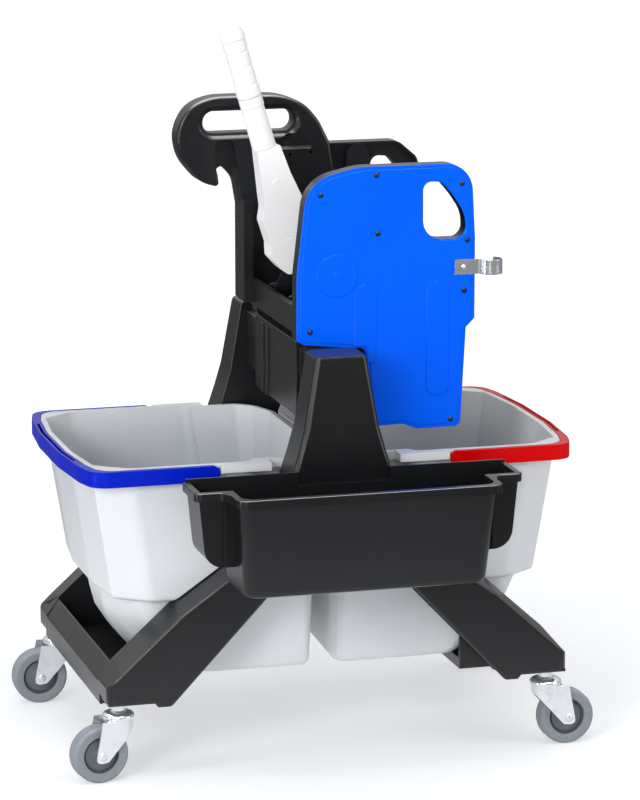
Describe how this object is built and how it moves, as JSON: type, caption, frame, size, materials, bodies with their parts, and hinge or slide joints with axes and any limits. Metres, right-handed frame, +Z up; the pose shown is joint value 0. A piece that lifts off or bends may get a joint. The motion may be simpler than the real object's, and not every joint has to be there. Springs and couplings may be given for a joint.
{
  "type": "mop trolley with two buckets and a side-press wringer",
  "caption": "Wheeled mop trolley with two lift-out buckets, a front utility tray and a lever-worked side-press wringer on a centre bridge.",
  "frame": {"origin": "middle of the footprint of the whole trolley, on the floor", "axes": "+Z up, +X towards the bucket under the wringer's basket (the one with the red bail), +Y away from the tray"},
  "size_m": [0.7246, 0.63, 0.9704],
  "materials": {
    "black": "fine-textured black polypropylene",
    "bucket": "smooth light grey polypropylene",
    "blue": "smooth bright blue polypropylene",
    "bail_blue": "smooth royal blue polypropylene",
    "bail_red": "smooth red polypropylene",
    "white": "smooth white nylon",
    "steel": "bright zinc-plated pressed steel",
    "bright_steel": "turned and drawn steel",
    "tyre": "grey non-marking rubber",
    "hub": "dark grey nylon",
    "nylon": "natural nylon"
  },
  "bodies": {
    "chassis": {"chassis_front_half": "black", "chassis_rear_half": "black", "centre_bridge": "black", "caster_stem_front_left": "bright_steel", "caster_stem_rear_left": "bright_steel", "caster_stem_front_right": "bright_steel", "caster_stem_rear_right": "bright_steel"},
    "tray": {"utility_tray": "black"},
    "left_bucket_body": {"left_bucket": "bucket"},
    "left_bail_body": {"left_bail": "bail_blue"},
    "right_bucket_body": {"right_bucket": "bucket"},
    "right_bail_body": {"right_bail": "bail_red"},
    "wringer": {"wringer_front_cover": "blue", "wringer_front_shell": "black", "wringer_rear_inner_shell": "black", "wringer_rear_outer_shell": "black", "wringer_tie_bar": "black", "pole_clip": "steel", "fixed_jaw": "black", "basket_floor": "black"},
    "press": {"press_plate": "black"},
    "lever": {"lever_shaft": "bright_steel", "lever_casting": "white", "lever_neck": "white", "lever_grip": "white", "lever_cap": "white", "crank_roller_front": "nylon", "crank_roller_rear": "nylon", "return_spring": "bright_steel"},
    "swivel_front_left": {"caster_fork_front_left": "steel", "caster_axle_front_left": "bright_steel"},
    "wheel_front_left": {"wheel_hub_front_left": "hub", "wheel_tyre_front_left": "tyre"},
    "swivel_rear_left": {"caster_fork_rear_left": "steel", "caster_axle_rear_left": "bright_steel"},
    "wheel_rear_left": {"wheel_hub_rear_left": "hub", "wheel_tyre_rear_left": "tyre"},
    "swivel_front_right": {"caster_fork_front_right": "steel", "caster_axle_front_right": "bright_steel"},
    "wheel_front_right": {"wheel_hub_front_right": "hub", "wheel_tyre_front_right": "tyre"},
    "swivel_rear_right": {"caster_fork_rear_right": "steel", "caster_axle_rear_right": "bright_steel"},
    "wheel_rear_right": {"wheel_hub_rear_right": "hub", "wheel_tyre_rear_right": "tyre"}
  },
  "joints": [
    {"name": "tray_lift", "type": "slide", "parent": "chassis", "child": "tray", "axis": [0, 0, 1], "range_m": [0, 0.12]},
    {"name": "left_bucket_lift", "type": "slide", "parent": "chassis", "child": "left_bucket_body", "axis": [-0.7071, 0, 0.7071], "range_m": [0, 0.3]},
    {"name": "right_bucket_lift", "type": "slide", "parent": "chassis", "child": "right_bucket_body", "axis": [0.7071, 0, 0.7071], "range_m": [0, 0.06]},
    {"name": "left_bail_swing", "type": "hinge", "parent": "left_bucket_body", "child": "left_bail_body", "pos_m": [-0.16804, 0.054, 0.4055], "axis": [0, 1, 0], "range_deg": [0, 90]},
    {"name": "right_bail_swing", "type": "hinge", "parent": "right_bucket_body", "child": "right_bail_body", "pos_m": [0.16796, 0.054, 0.4055], "axis": [0, -1, 0], "range_deg": [0, 70]},
    {"name": "wringer_lift", "type": "slide", "parent": "chassis", "child": "wringer", "axis": [0, 0, 1], "range_m": [0, 0.25]},
    {"name": "lever_swing", "type": "hinge", "parent": "wringer", "child": "lever", "pos_m": [0.01736, 0.054, 0.648], "axis": [0, -1, 0], "range_deg": [0, 60], "stiffness_Nm_per_rad": 3, "springref_deg": -28.65},
    {"name": "press_slide", "type": "slide", "parent": "wringer", "child": "press", "axis": [1, 0, 0], "range_m": [0, 0.0605]},
    {"name": "swivel_turn_front_left", "type": "hinge", "parent": "chassis", "child": "swivel_front_left", "pos_m": [-0.29604, -0.137, 0.095], "axis": [0, 0, 1], "continuous": true},
    {"name": "wheel_spin_front_left", "type": "hinge", "parent": "swivel_front_left", "child": "wheel_front_left", "pos_m": [-0.32377, -0.1409, 0.038], "axis": [-0.1392, 0.9903, 0], "continuous": true},
    {"name": "swivel_turn_rear_left", "type": "hinge", "parent": "chassis", "child": "swivel_rear_left", "pos_m": [-0.29604, 0.245, 0.095], "axis": [0, 0, 1], "continuous": true},
    {"name": "wheel_spin_rear_left", "type": "hinge", "parent": "swivel_rear_left", "child": "wheel_rear_left", "pos_m": [-0.32404, 0.245, 0.038], "axis": [0, 1, 0], "continuous": true},
    {"name": "swivel_turn_front_right", "type": "hinge", "parent": "chassis", "child": "swivel_front_right", "pos_m": [0.29596, -0.137, 0.095], "axis": [0, 0, 1], "continuous": true},
    {"name": "wheel_spin_front_right", "type": "hinge", "parent": "swivel_front_right", "child": "wheel_front_right", "pos_m": [0.32396, -0.137, 0.038], "axis": [0, -1, 0], "continuous": true},
    {"name": "swivel_turn_rear_right", "type": "hinge", "parent": "chassis", "child": "swivel_rear_right", "pos_m": [0.29596, 0.245, 0.095], "axis": [0, 0, 1], "continuous": true},
    {"name": "wheel_spin_rear_right", "type": "hinge", "parent": "swivel_rear_right", "child": "wheel_rear_right", "pos_m": [0.32353, 0.24986, 0.038], "axis": [0.1736, -0.9848, 0], "continuous": true}
  ],
  "couplings": [
    {"joint": "press_slide", "follows": "lever_swing", "m_per_rad": 0.0573}
  ]
}
